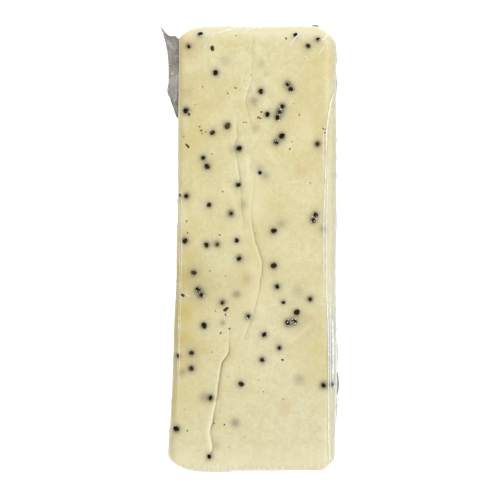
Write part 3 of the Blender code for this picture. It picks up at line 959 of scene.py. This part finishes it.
# The crumbs: bits of berry skin and core that broke off in the stirring, near black or rust
# brown, held in the face of the curd under the film.
CRUMB_SEED = 17
CRUMBS = {"upper": 48, "under": 40, "left": 22, "right": 22, "near": 9, "far": 9}
SHOWN_CRUMBS = (  # across, along and breadth in millimetres, and whether it is rusty
    *((-44.5, 90.4, 2.4, 0), (-40.4, 96.9, 1.0, 0), (-45.6, 69.2, 2.6, 0), (-28.9, 134.9, 2.8, 0)),
    *((-37.4, 82.2, 1.2, 1), (-36.4, 79.6, 1.4, 1), (-35.6, 77.6, 1.1, 1), (-33.4, 78.6, 1.0, 0)),
    *((-48.1, 75.5, 1.1, 1), (-7.6, 85.2, 0.9, 0), (-5.9, 85.0, 0.9, 0), (23.5, 67, 1.3, 0)),
    *((46.4, 80.6, 1.6, 1), (47.6, 80.4, 1.4, 1), (47.2, 78.2, 1.7, 1), (21, 141.6, 1.5, 0)),
    *((-30.5, -15, 1.1, 0), (-26.8, -42, 1.0, 0), (-17.3, -54.2, 1.2, 0), (-23.7, 9.1, 1.1, 0)),
    *((-20.6, -118.8, 1.6, 0), (-27.6, -117.8, 1, 0), (-45.7, -122.9, 1.2, 0), (19, -101.7, 1.1, 0)),
    *((-19.6, -41.0, 2.8, 0), (-19.9, -44.6, 1.6, 1), (-29, -69.9, 0.9, 0), (35.6, -33.4, 0.8, 0)),
    *((-51.0, 36, 2.6, 0), (-51.8, -72.4, 2.8, 0), (-48.6, -31.6, 2.6, 0)),
)
CRUMB_SIZES = (0.45 * MM, 1.6 * MM)
CRUMB_TURN = 2.2  # the higher, the more of them are small
CRUMB_LONG = (0.8, 1.5)
CRUMB_WIDE = (0.6, 1.0)
CRUMB_FLAT = 0.5
CRUMB_FINENESS = 2
CRUMB_ROUGH = 0.45
CRUMB_PITCH = 0.4  # of its roughness, as a share of its size
CRUMB_SPREAD = 900  # how far apart in the noise two crumbs take it
CRUMB_SPECKLE = (1800, 3, 0.5)  # cells in a metre, detail and roughness
RUST_SHARE = 0.3
bm = bmesh.new()
draw = random.Random(CRUMB_SEED)
rusty = bm.verts.layers.float.new("rust")


def lay_crumb(bm, side, first, second, size, rust):
    """An uneven flat chip that lies in the face of the curd."""
    spot, facing = touch(form, side, first, second)
    chip = bmesh.ops.create_icosphere(bm, subdivisions=CRUMB_FINENESS, radius=size / 2)
    shape = (draw.uniform(*CRUMB_LONG), draw.uniform(*CRUMB_WIDE), CRUMB_FLAT, 1)
    turn = Matrix.Rotation(draw.uniform(0, math.tau), 4, "Z")
    for v in chip["verts"]:
        v.co *= 1 + CRUMB_ROUGH * noise.noise(v.co / (CRUMB_PITCH * size) + spot * CRUMB_SPREAD)
        v[rusty] = rust
    lie = facing.to_track_quat("Z", "Y").to_matrix().to_4x4()
    at = Matrix.Translation(spot - facing * FILM_ROOM) @ lie @ turn @ Matrix.Diagonal(shape)
    bmesh.ops.transform(bm, matrix=at, verts=chip["verts"])


for side, count in CRUMBS.items():
    for _ in range(count):
        first, second = anywhere(draw)
        if side in ("left", "right"):
            first, second = second, draw.uniform(SIDE_MARGIN, THICKNESS - SIDE_MARGIN)
        elif side in ("near", "far"):
            second = draw.uniform(SIDE_MARGIN, THICKNESS - SIDE_MARGIN)
        low, high = CRUMB_SIZES
        size = low + (high - low) * draw.random() ** CRUMB_TURN
        lay_crumb(bm, side, first, second, size, float(draw.random() < RUST_SHARE))
for across, along, breadth, rust in SHOWN_CRUMBS:
    lay_crumb(bm, "upper", across * MM, along * MM, breadth * MM, rust)
crumb, tree, shader = look("pepper_crumb")
coords = add(tree, "ShaderNodeTexCoord").outputs["Object"]
speckle = graded(tree, mottle(tree, coords, *CRUMB_SPECKLE), 0.35, 0.65)
black = over(tree, speckle, shade(28, 22, 16), shade(62, 48, 34))
brown = over(tree, speckle, shade(120, 66, 34), shade(168, 112, 66))
chipped = over(tree, mask(tree, "rust"), black, brown)
feed(tree, shader, {"Base Color": chipped, "Roughness": 0.6})
crumbs = put("pepper_crumbs", bm, crumb)
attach(crumbs, "root")

# The film: thin clear shrink film, drawn tight round the whole slab. It clings to the broad face,
# stands up a little over each peppercorn, spans the fissures, and leaves the cheese along the
# right edge, where air under it makes it pale. At both ends it is gathered into fine creases.
FILM_CUTS = (51, 141, 21)
FILM_WALL = 0.10 * MM
TENT_RISE = 0.17
SIDE_TENT_RISE = 0.06
TENT_TOP = 0.25  # in half breadths of the peppercorn, where the tent starts to fall
TENT_SPREAD = 1.5  # and where it ends
STRAIN_REACH = 2.5 * MM
TENT_FIELD = GRAIN_MOST * TENT_SPREAD / 2 + 2 * MM
FILM_DIP = 0.35
FILM_DIP_REACH = 0.9 * MM
GATHER_PITCH = 3.6 * MM
GATHER_PITCHES = (GATHER_PITCH, 5 * GATHER_PITCH, 4 * GATHER_PITCH)
GATHER_DEPTH = 0.20 * MM
GATHER_LEVEL = 0.2  # share of this that sinks below the film's own face
GATHER_REACH = 11 * MM
GATHER_UP = (2 * MM, 8 * MM)
GATHER_FIELD = 15 * MM  # the mesh is finer this near either end
AIR_ALONG = (  # how much light the air under it catches, and the place along the right edge
    *((0.50, -150), (0.30, -128), (0.20, -108), (0.45, -88), (0.65, -60)),
    *((0.75, -30), (0.70, 20), (0.50, 60), (0.60, 88), (0.30, 108)),
)
AIR_BLEND = (-0.3 * MM, 0.6 * MM)
AIR_UP = (12 * MM, 30 * MM)
NEAR_AIR = 0.5
NEAR_AIR_SPAN = (2 * MM - HALF.y, 6 * MM - HALF.y)


def fullness(place):
    """How square the film's edge is that a point of the cube goes to."""
    right = smooth(*FULL_ACROSS, place.x) * smooth(*FULL_UP, place.z)
    return 2 + (RIGHT_FULLNESS - 2) * right * (1 - smooth(*SPAN_START, spaced(place.y, 1)))


def wants_fine_film(point):
    """Whether the film's mesh is finer at a point: by pepper, by either end or in a fissure."""
    by_end = abs(point.y) > HALF.y - GATHER_FIELD
    return by_end or near_pepper(point) or by_fissure(point, *FISSURE_INSIDE)


bm = cube_skin(FILM_CUTS)
refine(bm, wants_fine_film)
air, strain = (bm.verts.layers.float.new(mark) for mark in ("air", "strain"))
for v in bm.verts:
    v.co = slab_point(v.co, fullness(v.co))
bm.normal_update()
for v in bm.verts:
    point, lift = v.co.copy(), 0.0
    for _, i, away in grain_tree.find_range(point, TENT_FIELD):
        side, _, _, size = grains[i]
        if side != "under":
            tent = TENT_RISE if side == "upper" else SIDE_TENT_RISE
            lift = max(lift, tent * size * (1 - smooth(TENT_TOP, TENT_SPREAD, away / size * 2)))
            v[strain] = max(v[strain], 1 - smooth(size / 2, size / 2 + STRAIN_REACH, away))
    found = off_crease(point)
    if found:
        side, width, depth = found
        lift -= FILM_DIP * depth * bell(side, FILM_DIP_REACH)
    end = smooth(HALF.y - GATHER_REACH, HALF.y, abs(point.y)) * smooth(*GATHER_UP, point.z)
    folded = Vector([point[axis] / GATHER_PITCHES[axis] for axis in range(3)])
    lift += GATHER_DEPTH * end * (abs(noise.noise(folded)) * 2 - GATHER_LEVEL)
    past = point.x - across_at(RIGHT_CREASE, point.y) * MM
    spanned = smooth(*AIR_BLEND, past) * smooth(*AIR_UP, point.z)
    spanned *= across_at(AIR_ALONG, point.y)
    near = NEAR_AIR * (1 - smooth(*NEAR_AIR_SPAN, point.y))
    v[air] = min(1.0, max(spanned, near))
    v.co = point + v.normal * lift
film_form = BVHTree.FromBMesh(bm)

FILM_ALPHA = 0.002  # flat clinging film all but vanishes
FILM_AIR_ALPHA = 0.24  # where air under it catches the most light
STREAKS = (700, 3, 0.55)  # cells in a metre, detail and roughness
STREAK_STRETCH = (1.0, 0.08, 1.0)
FILM_CRINKLES = (240, 5, 0.6)
film, tree, shader = look("clear_film")
coords = add(tree, "ShaderNodeTexCoord").outputs["Object"]
drawn = add(tree, "ShaderNodeMapping", {"Vector": coords, "Scale": STREAK_STRETCH}).outputs[0]
streaks = mottle(tree, drawn, *STREAKS)
crinkle = mottle(tree, coords, *FILM_CRINKLES)
streaky = figure(tree, "MULTIPLY", mask(tree, "air"), graded(tree, streaks, 0.35, 0.7, 0.45, 1.0))
clear = figure(tree, "MULTIPLY_ADD", streaky, FILM_AIR_ALPHA, FILM_ALPHA)
sheen = graded(tree, add(tree, "ShaderNodeFresnel", {"IOR": 1.35}).outputs[0], 0.03, 0.6, 0, 0.03)
heights = figure(tree, "MULTIPLY_ADD", crinkle, mask(tree, "strain"), streaks)
finish = {
    "Base Color": shade(246, 246, 242),
    "Alpha": figure(tree, "ADD", clear, sheen),
    "Normal": relief(tree, heights, 0.35, 0.25 * MM),
    "Roughness": 0.14,
    "IOR": 1.5,
}
feed(tree, shader, finish)


def thicken(sheet, wall, offset):
    """Gives a sheet its wall: inwards at an offset of -1, and on both sides at 0."""
    made = sheet.modifiers.new("wall", "SOLIDIFY")
    made.thickness = wall
    made.offset = offset


film_skin = put("film_skin", bm, film)
thicken(film_skin, FILM_WALL, -1)
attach(film_skin, "root")

# The pleats: folds that the film was drawn into as it shrank, each a slim raised crease of doubled
# film. Long ones run down the right and left edges and short ones cross the far corners, their
# whiteness a painted highlight. Ones that stand off the right side and the far end are painted grey for
# shade, and tiny pinches beside some peppercorns are painted white as glints.
PLEAT_STEP = 1.2 * MM
PLEAT_WALL = 0.08 * MM
PLEAT_ROWS = 6
PLEAT_TIP = 0.4  # its breadth at its ends, as a share
PLEAT_CURVE = 0.8  # below 1 its back is rounded
# Side, breadth and height in millimetres, how white its painted glint is, and the route: across and
# along on the upper face, and along and up or across and up on an upright one.
PLEATS = (
    ("upper", 1.1, 0.50, 0.36, ((54.9, 107.3), (51.2, 99.5), (49.9, 91.5), (48.3, 80), (47.8, 64))),
    ("upper", 0.8, 0.40, 0.18, ((47.2, 84), (46.0, 76), (45.9, 66), (45.8, 50))),
    ("upper", 0.8, 0.40, 0.16, ((48.0, 70), (47.6, 50), (46.6, 28), (46.2, 8), (46.4, -22))),
    ("upper", 0.6, 0.25, 0.15, ((49.4, 70), (48.8, 40), (48.0, 10), (48.0, -20), (48.3, -36))),
    ("upper", 0.8, 0.38, 0.28, ((47.9, -22), (49.0, -45), (49.6, -70), (49.6, -96))),
    ("upper", 0.6, 0.30, 0.22, ((49.6, -92), (49.4, -108), (49.5, -120), (50.2, -146))),
    ("upper", 0.6, 0.25, 0.14, ((50.6, -30), (50.9, -60), (50.8, -96))),
    ("upper", 1.4, 0.35, 0.12, ((52.2, -48), (52.6, -68), (52.4, -90))),
    (
        *("upper", 0.4, 0.26, 0.16),
        ((-49.1, 68), (-49.2, 44), (-49.5, 5), (-50.2, -35), (-51.0, -75), (-52.0, -110)),
    ),
    ("upper", 0.4, 0.20, 0.08, ((-50.4, 30), (-50.8, -5), (-51.4, -45), (-52.2, -90))),
    ("upper", 1.0, 0.40, 0.22, ((-32.0, 141.8), (-26.5, 145.0), (-18.0, 147.2), (-10.5, 147.6))),
    ("upper", 0.8, 0.35, 0.22, ((-10.8, 144.0), (-7.0, 146.6), (1.5, 148.6))),
    ("upper", 0.7, 0.30, 0.16, ((-36.0, 139.0), (-33.6, 142.6), (-29.0, 145.4))),
    ("upper", 1.0, 0.45, 0.42, ((30.4, 145.6), (26.8, 141.4), (22.4, 136.0))),
    ("upper", 0.6, 0.30, 0.45, ((33.6, 144.6), (31.0, 141.2))),
    ("upper", 0.9, 0.40, 0.55, ((49.0, 144.2), (47.0, 142.0), (44.6, 139.8))),
    ("upper", 0.6, 0.25, 0.40, ((47.2, 136.6), (44.4, 133.4), (42.6, 130.8))),
    ("upper", 0.5, 0.25, 0.25, ((51.0, 133.0), (49.2, 129.8), (47.8, 126.6))),
    ("upper", 0.8, 0.30, 0.18, ((-35.6, 134.2), (-33.2, 137.2), (-32.0, 139.4))),
    ("right", 1.6, 0.80, 0.10, ((-60, 21), (-73, 20.5), (-86, 20))),
    ("right", 1.6, 1.60, 0.42, ((-83.5, 20), (-91, 20.6), (-99.5, 20))),
    ("right", 1.6, 0.80, 0.10, ((-97, 20), (-108, 20), (-119, 20))),
    ("right", 1.4, 0.80, 0.10, ((118, 22), (111, 22), (104, 22))),
    ("far", 1.2, 1.40, 0.45, ((38.6, 23), (41.0, 24), (43.2, 23))),
)
PLEAT_SEED = 12
FLECKED_SHARE = 0.22  # share of the lone upper peppercorns that the film glints beside
ROW_FLECKS = (2, 4)
LONE_FLECKS = (1, 2)
FLECK_BREADTHS = (0.35, 0.6)  # in millimetres
FLECK_LENGTHS = (0.3 * MM, 0.8 * MM)
FLECK_HEIGHT = 0.1
FLECK_GLINT = 1.0
ROW_FLECK_REACH = 0.6  # in breadths of the peppercorn
LONE_FLECK_REACH = 0.8
GLINTS = (  # where the film is pinched into flecks painted white as glints, across and along in millimetres
    *((-38.5, 144.5), (39.8, 142.2), (4.2, 97.5), (-46.2, -31.5), (-5.0, -46.2)),
    *((-18.8, -45.6), (27.0, -49.4), (51.6, -92.2)),
)
GLINT_FLECKS = 6
GLINT_REACH = 2.8 * MM


def lay_pleat(bm, side, breadth, height, glint_share, route):
    """A slim ridge of film laid along a route, fading at both ends. Its painted glint share makes it
    whiter, and one that stands off an upright side is painted grey for shade."""
    path = curve_through([Vector((*p, 0)) * MM for p in route], PLEAT_STEP)
    last = len(path) - 1
    strip = bmesh.ops.create_grid(bm, x_segments=last, y_segments=PLEAT_ROWS, size=1)
    for v in strip["verts"]:
        i = round((v.co.x + 1) / 2 * last)
        ahead = path[min(i + 1, last)] - path[max(i - 1, 0)]
        aside = Vector((-ahead.y, ahead.x, 0)).normalized()
        fade = math.sin(math.pi * (i + 0.3) / (last + 0.6)) ** 0.5
        share = PLEAT_TIP + (1 - PLEAT_TIP) * fade
        place = path[i] + aside * v.co.y * breadth * MM / 2 * share
        spot, facing = touch(film_form, side, place.x, place.y)
        if spot is None:  # past the rim, so it bends down over the edge
            spot, facing = film_form.find_nearest(Vector((place.x, place.y, THICKNESS)))[:2]
        ridge = height * MM * fade * (1 - abs(v.co.y)) ** PLEAT_CURVE
        v[painted_glint] = glint_share * min(1, 2 * fade * (1 - abs(v.co.y)))
        v[grey_shade] = float(side != "upper")
        v.co = spot + facing * (ridge + PLEAT_WALL)


bm = bmesh.new()
painted_glint, grey_shade = (bm.verts.layers.float.new(mark) for mark in ("painted_glint", "grey_shade"))
for pleat in PLEATS:
    lay_pleat(bm, *pleat)
draw = random.Random(PLEAT_SEED)


def scatter_flecks(bm, middle, reach, count):
    """Tiny pinches of film, painted white as glints, strewn round a place on the upper face."""
    for _ in range(count):
        way = plan_way(draw.uniform(0, math.tau))
        start = middle + way * reach * draw.random() ** 0.5
        way = plan_way(draw.uniform(0, math.tau))
        end = start + way * draw.uniform(*FLECK_LENGTHS)
        breadth, route = draw.uniform(*FLECK_BREADTHS), (start / MM, end / MM)
        lay_pleat(bm, "upper", breadth, FLECK_HEIGHT, FLECK_GLINT, route)


for across, along in GLINTS:
    scatter_flecks(bm, Vector((across, along)) * MM, GLINT_REACH, GLINT_FLECKS)
for i, (side, spot, _, size) in enumerate(grains):
    if side == "upper" and i < ROW_GRAINS:
        scatter_flecks(bm, spot.xy, ROW_FLECK_REACH * size, draw.randint(*ROW_FLECKS))
    elif side == "upper" and draw.random() < FLECKED_SHARE:
        scatter_flecks(bm, spot.xy, LONE_FLECK_REACH * size, draw.randint(*LONE_FLECKS))

GLINT_ALPHA = 0.9
FOLD_PATCHES = (220, 3, 0.6)  # cells in a metre, detail and roughness
FOLD_CRINKLES = (900, 3, 0.6)
folded_film, tree, shader = look("folded_film")
coords = add(tree, "ShaderNodeTexCoord").outputs["Object"]
patchy = graded(tree, mottle(tree, coords, *FOLD_PATCHES), 0.35, 0.65, 0.12, 0.4)
# Painted light: white for the highlights and glints on the folds, and grey for the shade of those that
# stand off the sides
finish = {
    "Base Color": over(tree, mask(tree, "grey_shade"), shade(255, 255, 250), shade(122, 122, 122)),
    "Alpha": figure(tree, "MULTIPLY_ADD", mask(tree, "painted_glint"), GLINT_ALPHA, patchy),
    "Normal": relief(tree, mottle(tree, coords, *FOLD_CRINKLES), 0.4, 0.15 * MM),
    "Roughness": 0.22,
    "Specular IOR Level": 0.9,
    "Emission Color": (1, 1, 0.97, 1),
    "Emission Strength": 0.12,  # a painted glow that stands in for the lamps' glints, which are tiny
}
feed(tree, shader, finish)
film_pleats = put("film_pleats", bm, folded_film)
thicken(film_pleats, PLEAT_WALL, 0)
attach(film_pleats, "root")

# The ear: the doubled end of the film that stands off the left side at the far corner. Nothing lies
# behind it. Its grey is painted shade, darker in a painted shadow band by the slab, with painted glints
# on the creases where it was pinched and painted sheen in satin streaks.
EAR_WIDTH = 6.8 * MM
EAR_TIP = 5.8 * MM
EAR_LIFT = 9 * MM
EAR_RAMP = 0.33  # share of its length, from the foot, in which it gains its width
EAR_BULGE = 0.9 * MM
BULGE_PLACE = (0.38, 0.055)  # middle and reach, as shares of its length
EAR_TIP_TURN = 8  # the higher, the nearer to the corner its tip begins
HEAD_HOLLOW = 2.2  # above 1 the edge at its head is hollow
HEAD_FOLD = 2 * MM
FOLD_PLACE = (0.25, 0.18)  # middle and reach, as shares of its width
EAR_START = 0.04  # share of its length at the foot, where it has no width, that is left out
EAR_WAVE = 1.6 * MM
EAR_WAVE_TURNS = (9, 1.5)
EAR_WALL = 0.12 * MM
EAR_GAP = 0.1 * MM
EAR_CRINKLE = 0.45 * MM
EAR_CRINKLE_PITCH = 5 * MM
FINE_SLICE = 7 * MM  # where in the noise the finer crinkles are taken
EDGE_SLICE = 3  # and the free edge's
EAR_CALM = 0.3  # share of its width, from the slab, over which the crinkles grow
EAR_CELLS = (190, 34)
EAR_CREASES = (  # places along and across it, its reach both ways, all as shares, and how white the painted glint is
    *((0.90, 0.55, 0.05, 0.45, 0.75), (0.965, 0.62, 0.03, 0.30, 0.55), (0.80, 0.30, 0.06, 0.30, 0.35)),
    *((0.28, 0.45, 0.04, 0.22, 1.0), (0.60, 0.45, 0.05, 0.50, 0.35), (0.45, 0.25, 0.05, 0.40, 0.35)),
    (0.16, 0.50, 0.10, 0.30, 0.60),
)
EAR_LINES = 15
EAR_LINE_STRETCH = 0.3
EAR_LINE_FINENESS = 3
HAZE_PLACE = (0.55, 0.17)  # the middle and reach of its palest part, as shares of its length


def ear_point(s, t):
    """A point of the ear: s runs from its foot to the corner, t from the slab to the free edge."""
    root_y = EAR_FOOT + (EAR_HEAD - EAR_FOOT) * s
    root = touch(form, "left", root_y, EAR_LEVEL)[0]
    middle, breadth = BULGE_PLACE
    reach = EAR_WIDTH * min(1, s / EAR_RAMP) + EAR_TIP * s**EAR_TIP_TURN
    reach += EAR_BULGE * bell(s - middle, breadth)
    middle, breadth = FOLD_PLACE
    head = EAR_LIFT * t**HEAD_HOLLOW + HEAD_FOLD * bell(t - middle, breadth)
    wave = EAR_WAVE * t * math.sin(EAR_WAVE_TURNS[0] * s + EAR_WAVE_TURNS[1] * t)
    along = root_y + head * s**EAR_TIP_TURN
    point = Vector((root.x - EAR_GAP - reach * t, along, EAR_LEVEL + wave))
    crinkle = noise.noise(Vector((point.x / 2, point.y, 0)) / EAR_CRINKLE_PITCH)
    crinkle += 0.5 * noise.noise(Vector((point.x, point.y / 2, FINE_SLICE)) * 2 / EAR_CRINKLE_PITCH)
    point.z += EAR_CRINKLE * crinkle * smooth(0, EAR_CALM, t)
    ragged = noise.noise(Vector((0, point.y * 2, EDGE_SLICE)) / EAR_CRINKLE_PITCH)
    point.x += 0.5 * EAR_CRINKLE * t * ragged
    return point


bm = bmesh.new()
bmesh.ops.create_grid(bm, x_segments=EAR_CELLS[0], y_segments=EAR_CELLS[1], size=1)
root_shade, ear_glint, haze = (bm.verts.layers.float.new(mark) for mark in ("root", "ear_glint", "haze"))
# Marks painted on the ear: a shadow band by the slab, painted glints along its creases, and its paler
# middle
for v in bm.verts:
    s, t = EAR_START + (1 - EAR_START) * (v.co.x + 1) / 2, (v.co.y + 1) / 2
    v[root_shade] = 1 - t
    v[haze] = bell(s - HAZE_PLACE[0], HAZE_PLACE[1])
    lined = Vector((EAR_LINES * s, EAR_LINE_STRETCH * EAR_LINES * t, 1))
    line = 1 - abs(noise.noise(lined)) * EAR_LINE_FINENESS
    for along, across, length, breadth, white in EAR_CREASES:
        away = math.hypot((s - along) / length, (t - across) / breadth)
        v[ear_glint] = max(v[ear_glint], white * max(0.0, line) * math.exp(-away * away))
    v.co = ear_point(s, t)

HAZE_ALPHA = -0.06  # the haze is thinner than the rest
EAR_GLINT_ALPHA = 0.36  # and the painted glints are denser
EAR_PATCHES = (120, 4, 0.6)  # cells in a metre, detail and roughness
EAR_SATIN = (650, 4, 0.65)
SATIN_STRETCH = (1.0, 0.3, 1.0)
EAR_FLECKS = (520, 4, 0.65)
shaded_grey, tree, shader = look("shaded_grey_film")
coords = add(tree, "ShaderNodeTexCoord").outputs["Object"]
patches = mottle(tree, coords, *EAR_PATCHES)
drawn = add(tree, "ShaderNodeMapping", {"Vector": coords, "Scale": SATIN_STRETCH}).outputs[0]
satin = mottle(tree, drawn, *EAR_SATIN)
flecks = mottle(tree, coords, *EAR_FLECKS)
# Painted shade: the ear's greys, with painted sheen and shade in satin streaks and a painted shadow
# band by the slab
colour = over(tree, graded(tree, patches, 0.35, 0.65), shade(60, 58, 51), shade(84, 82, 74))
washes = (  # what each wash follows, between which values, its share at both, and its colour
    (mask(tree, "haze"), 0, 1, 0, 0.72, shade(146, 144, 137)),
    (satin, 0.47, 0.60, 0, 0.6, shade(158, 156, 150)),
    (satin, 0.38, 0.48, 0.6, 0, shade(52, 51, 48)),
    (mask(tree, "root"), 0.62, 0.96, 0, 1.0, shade(62, 57, 34)),
)
for value, low, high, bottom, top, wash in washes:
    colour = over(tree, graded(tree, value, low, high, bottom, top), colour, wash)
# Painted glints: white flecks and creases
white_share = figure(tree, "MAXIMUM", graded(tree, flecks, 0.58, 0.68, 0, 0.7), mask(tree, "ear_glint"))
thick = graded(tree, patches, 0.3, 0.7, 0.54, 0.66)
thin = figure(tree, "MULTIPLY_ADD", mask(tree, "haze"), HAZE_ALPHA, thick)
finish = {
    "Base Color": over(tree, white_share, colour, shade(250, 249, 245)),
    "Alpha": figure(tree, "MULTIPLY_ADD", mask(tree, "ear_glint"), EAR_GLINT_ALPHA, thin),
    "Normal": relief(tree, satin, 0.5, 0.3 * MM),
    "Roughness": 0.16,
}
feed(tree, shader, finish)
film_ear = put("free_film_ear", bm, shaded_grey)
thicken(film_ear, EAR_WALL, 0)
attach(film_ear, "root")
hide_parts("film_ear")
